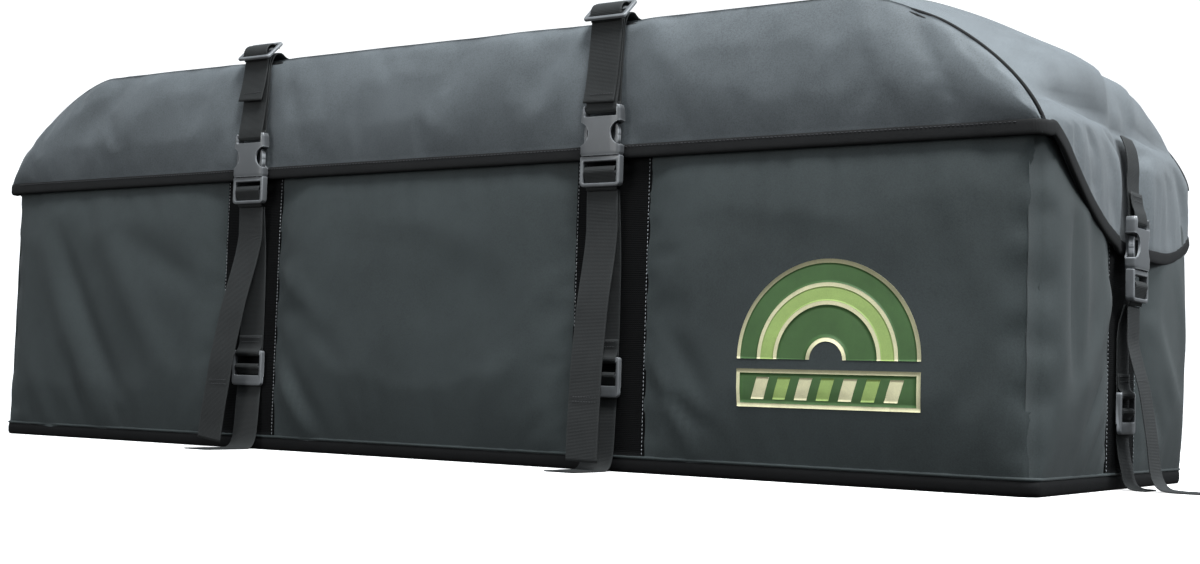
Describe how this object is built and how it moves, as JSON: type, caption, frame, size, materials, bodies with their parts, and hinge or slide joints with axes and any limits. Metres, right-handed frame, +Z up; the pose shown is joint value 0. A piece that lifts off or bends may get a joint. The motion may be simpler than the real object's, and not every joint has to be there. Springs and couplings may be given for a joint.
{
  "type": "hitch cargo carrier",
  "caption": "Soft-sided cargo bag for a hitch rack, with a padded box, an arched lid hinged at the back, side-release buckles and tie-down straps.",
  "frame": {"origin": "centre of the base face", "axes": "+X along the length to the right of a viewer in front, -Y out of the front, +Z up"},
  "size_m": [1.697, 0.5744, 0.5069],
  "materials": {
    "tub_fabric": "charcoal coated polyester weave",
    "lid_fabric": "charcoal coated polyester weave",
    "base_fabric": "black coated fabric",
    "binding": "black grosgrain tape",
    "webbing": "black ribbed webbing",
    "buckle_plastic": "black moulded plastic, satin",
    "foam": "closed-cell foam",
    "stiff_board": "matt board",
    "badge_print": "two-tone printed film"
  },
  "bodies": {
    "tub": {"base_tray": "base_fabric", "base_board": "stiff_board", "front_panel": "tub_fabric", "back_panel": "tub_fabric", "left_end_panel": "tub_fabric", "right_end_panel": "tub_fabric", "wall_padding": "foam", "base_piping": "binding", "rim_binding": "binding", "front_left_band": "webbing", "front_right_band": "webbing", "back_bands": "webbing", "left_end_band": "webbing", "right_end_band": "webbing", "hinge_strip": "binding", "emblem_patch": "badge_print", "anchor_straps": "webbing", "front_left_lower_tail": "webbing", "front_right_lower_tail": "webbing", "left_end_lower_tail": "webbing", "right_end_lower_tail": "webbing", "front_left_tie_strap": "webbing", "front_right_tie_strap": "webbing", "left_end_tie_strap": "webbing", "right_end_tie_strap": "webbing"},
    "lid": {"lid_front_panel": "lid_fabric", "lid_back_panel": "lid_fabric", "lid_gusset": "lid_fabric", "left_end_flap": "lid_fabric", "right_end_flap": "lid_fabric", "lid_binding": "binding", "lid_piping": "binding", "left_lid_strap": "webbing", "right_lid_strap": "webbing", "left_end_upper_strap": "webbing", "right_end_upper_strap": "webbing", "left_tri_glide": "buckle_plastic", "right_tri_glide": "buckle_plastic", "front_left_socket": "buckle_plastic", "front_right_socket": "buckle_plastic", "left_end_socket": "buckle_plastic", "right_end_socket": "buckle_plastic"},
    "front_left_plug": {"front_left_plug": "buckle_plastic"},
    "front_left_arm_a": {"front_left_arm_a": "buckle_plastic"},
    "front_left_arm_b": {"front_left_arm_b": "buckle_plastic"},
    "front_left_ladder_lock": {"front_left_ladder_lock": "buckle_plastic"},
    "front_right_plug": {"front_right_plug": "buckle_plastic"},
    "front_right_arm_a": {"front_right_arm_a": "buckle_plastic"},
    "front_right_arm_b": {"front_right_arm_b": "buckle_plastic"},
    "front_right_ladder_lock": {"front_right_ladder_lock": "buckle_plastic"},
    "left_end_plug": {"left_end_plug": "buckle_plastic"},
    "left_end_arm_a": {"left_end_arm_a": "buckle_plastic"},
    "left_end_arm_b": {"left_end_arm_b": "buckle_plastic"},
    "left_end_ladder_lock": {"left_end_ladder_lock": "buckle_plastic"},
    "right_end_plug": {"right_end_plug": "buckle_plastic"},
    "right_end_arm_a": {"right_end_arm_a": "buckle_plastic"},
    "right_end_arm_b": {"right_end_arm_b": "buckle_plastic"},
    "right_end_ladder_lock": {"right_end_ladder_lock": "buckle_plastic"}
  },
  "joints": [
    {"name": "lid_hinge", "type": "hinge", "parent": "tub", "child": "lid", "pos_m": [0, 0.2415, 0.334], "axis": [-1, 0, 0], "range_deg": [0, 110]},
    {"name": "front_left_plug_slide", "type": "slide", "parent": "tub", "child": "front_left_plug", "axis": [0, 0, -1], "range_m": [0, 0.03]},
    {"name": "front_left_arm_a_squeeze", "type": "hinge", "parent": "front_left_plug", "child": "front_left_arm_a", "pos_m": [-0.277, -0.259, 0.3386], "axis": [0, 1, 0], "range_deg": [0, 8], "stiffness_Nm_per_rad": 0.2},
    {"name": "front_left_arm_b_squeeze", "type": "hinge", "parent": "front_left_plug", "child": "front_left_arm_b", "pos_m": [-0.247, -0.259, 0.3386], "axis": [0, -1, 0], "range_deg": [0, 8], "stiffness_Nm_per_rad": 0.2},
    {"name": "front_left_lock_tip", "type": "hinge", "parent": "tub", "child": "front_left_ladder_lock", "pos_m": [-0.262, -0.249, 0.118], "axis": [-1, 0, 0], "range_deg": [0, 20]},
    {"name": "front_right_plug_slide", "type": "slide", "parent": "tub", "child": "front_right_plug", "axis": [0, 0, -1], "range_m": [0, 0.03]},
    {"name": "front_right_arm_a_squeeze", "type": "hinge", "parent": "front_right_plug", "child": "front_right_arm_a", "pos_m": [0.247, -0.259, 0.3386], "axis": [0, 1, 0], "range_deg": [0, 8], "stiffness_Nm_per_rad": 0.2},
    {"name": "front_right_arm_b_squeeze", "type": "hinge", "parent": "front_right_plug", "child": "front_right_arm_b", "pos_m": [0.277, -0.259, 0.3386], "axis": [0, -1, 0], "range_deg": [0, 8], "stiffness_Nm_per_rad": 0.2},
    {"name": "front_right_lock_tip", "type": "hinge", "parent": "tub", "child": "front_right_ladder_lock", "pos_m": [0.262, -0.249, 0.118], "axis": [-1, 0, 0], "range_deg": [0, 20]},
    {"name": "left_end_plug_slide", "type": "slide", "parent": "tub", "child": "left_end_plug", "axis": [0, 0, -1], "range_m": [0, 0.03]},
    {"name": "left_end_arm_a_squeeze", "type": "hinge", "parent": "left_end_plug", "child": "left_end_arm_a", "pos_m": [-0.754, 0.019, 0.2296], "axis": [1, 0, 0], "range_deg": [0, 8], "stiffness_Nm_per_rad": 0.2},
    {"name": "left_end_arm_b_squeeze", "type": "hinge", "parent": "left_end_plug", "child": "left_end_arm_b", "pos_m": [-0.754, -0.011, 0.2296], "axis": [-1, 0, 0], "range_deg": [0, 8], "stiffness_Nm_per_rad": 0.2},
    {"name": "left_end_lock_tip", "type": "hinge", "parent": "tub", "child": "left_end_ladder_lock", "pos_m": [-0.744, 0.004, 0.097], "axis": [0, 1, 0], "range_deg": [0, 20]},
    {"name": "right_end_plug_slide", "type": "slide", "parent": "tub", "child": "right_end_plug", "axis": [0, 0, -1], "range_m": [0, 0.03]},
    {"name": "right_end_arm_a_squeeze", "type": "hinge", "parent": "right_end_plug", "child": "right_end_arm_a", "pos_m": [0.754, -0.011, 0.2296], "axis": [-1, 0, 0], "range_deg": [0, 8], "stiffness_Nm_per_rad": 0.2},
    {"name": "right_end_arm_b_squeeze", "type": "hinge", "parent": "right_end_plug", "child": "right_end_arm_b", "pos_m": [0.754, 0.019, 0.2296], "axis": [1, 0, 0], "range_deg": [0, 8], "stiffness_Nm_per_rad": 0.2},
    {"name": "right_end_lock_tip", "type": "hinge", "parent": "tub", "child": "right_end_ladder_lock", "pos_m": [0.744, 0.004, 0.097], "axis": [0, -1, 0], "range_deg": [0, 20]}
  ],
  "couplings": [
    {"joint": "front_left_arm_a_squeeze", "follows": "front_left_arm_b_squeeze", "ratio": 1},
    {"joint": "front_right_arm_a_squeeze", "follows": "front_right_arm_b_squeeze", "ratio": 1},
    {"joint": "left_end_arm_a_squeeze", "follows": "left_end_arm_b_squeeze", "ratio": 1},
    {"joint": "right_end_arm_a_squeeze", "follows": "right_end_arm_b_squeeze", "ratio": 1}
  ]
}
